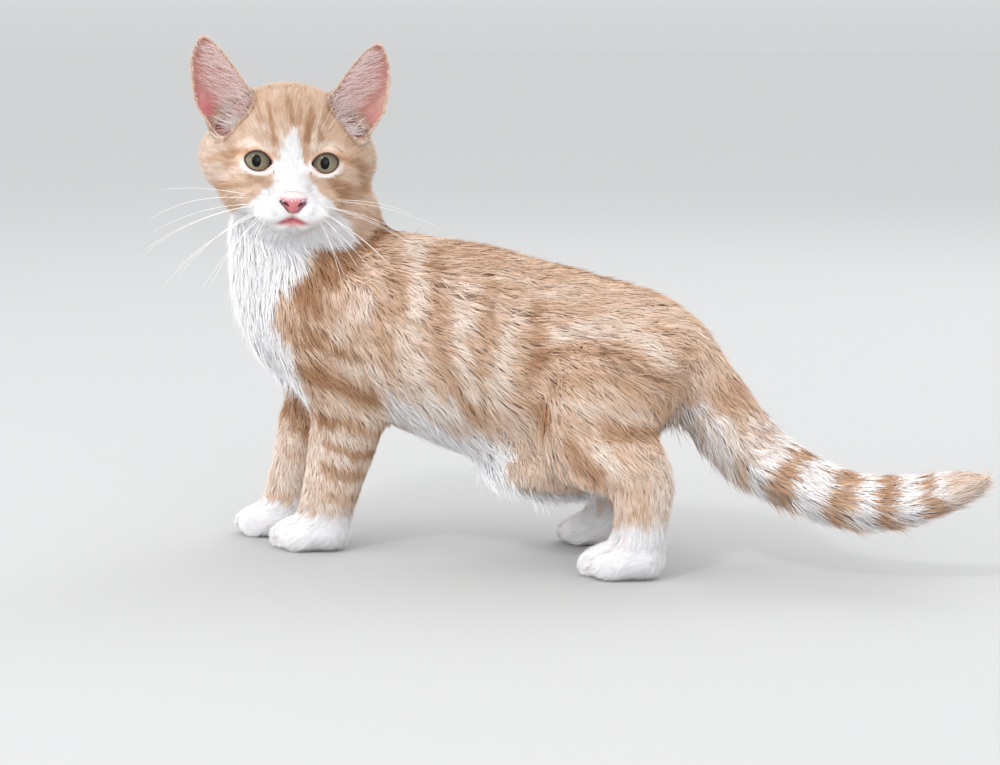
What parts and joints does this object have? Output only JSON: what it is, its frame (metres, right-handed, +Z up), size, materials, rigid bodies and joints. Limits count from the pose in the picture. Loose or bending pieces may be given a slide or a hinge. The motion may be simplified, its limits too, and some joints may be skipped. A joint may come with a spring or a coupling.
{
  "type": "domestic shorthair kitten",
  "caption": "Still, life-size domestic shorthair kitten in a pale ginger tabby and white coat, standing with its tail held out behind and its head turned to the side.",
  "frame": {"origin": "centre of the bounding box of the whole animal, on the floor that its paws stand on", "axes": "the kitten stands along X with its forequarters and head towards -X and its tail towards +X; its left side faces -Y, which is the side that the picture shows; +Z is up"},
  "size_m": [0.3312, 0.0927, 0.2187],
  "materials": {
    "coat_ginger": "short dense pale ginger tabby fur",
    "coat_white": "short to medium white fur",
    "ear_skin": "thin pink skin with sparse fine hair inside, short ginger fur outside",
    "eye": "wet and glossy, grey-green iris with an upright black pupil",
    "nose_skin": "damp pink nose leather with a fine grain"
  },
  "bodies": {
    "root": {"head": "coat_ginger", "neck": "coat_ginger", "rump": "coat_ginger", "thigh_left": "coat_ginger", "thigh_right": "coat_ginger", "foreleg_left": "coat_ginger", "foreleg_right": "coat_ginger", "tail_1": "coat_ginger", "tail_2": "coat_ginger", "tail_3": "coat_ginger", "tail_4": "coat_ginger", "chest": "coat_ginger", "belly": "coat_white", "forepaw_left": "coat_white", "forepaw_right": "coat_white", "hindfoot_left": "coat_white", "hindfoot_right": "coat_white", "ear_left": "ear_skin", "ear_right": "ear_skin", "eye_left": "eye", "eye_right": "eye", "nose": "nose_skin"}
  },
  "joints": []
}
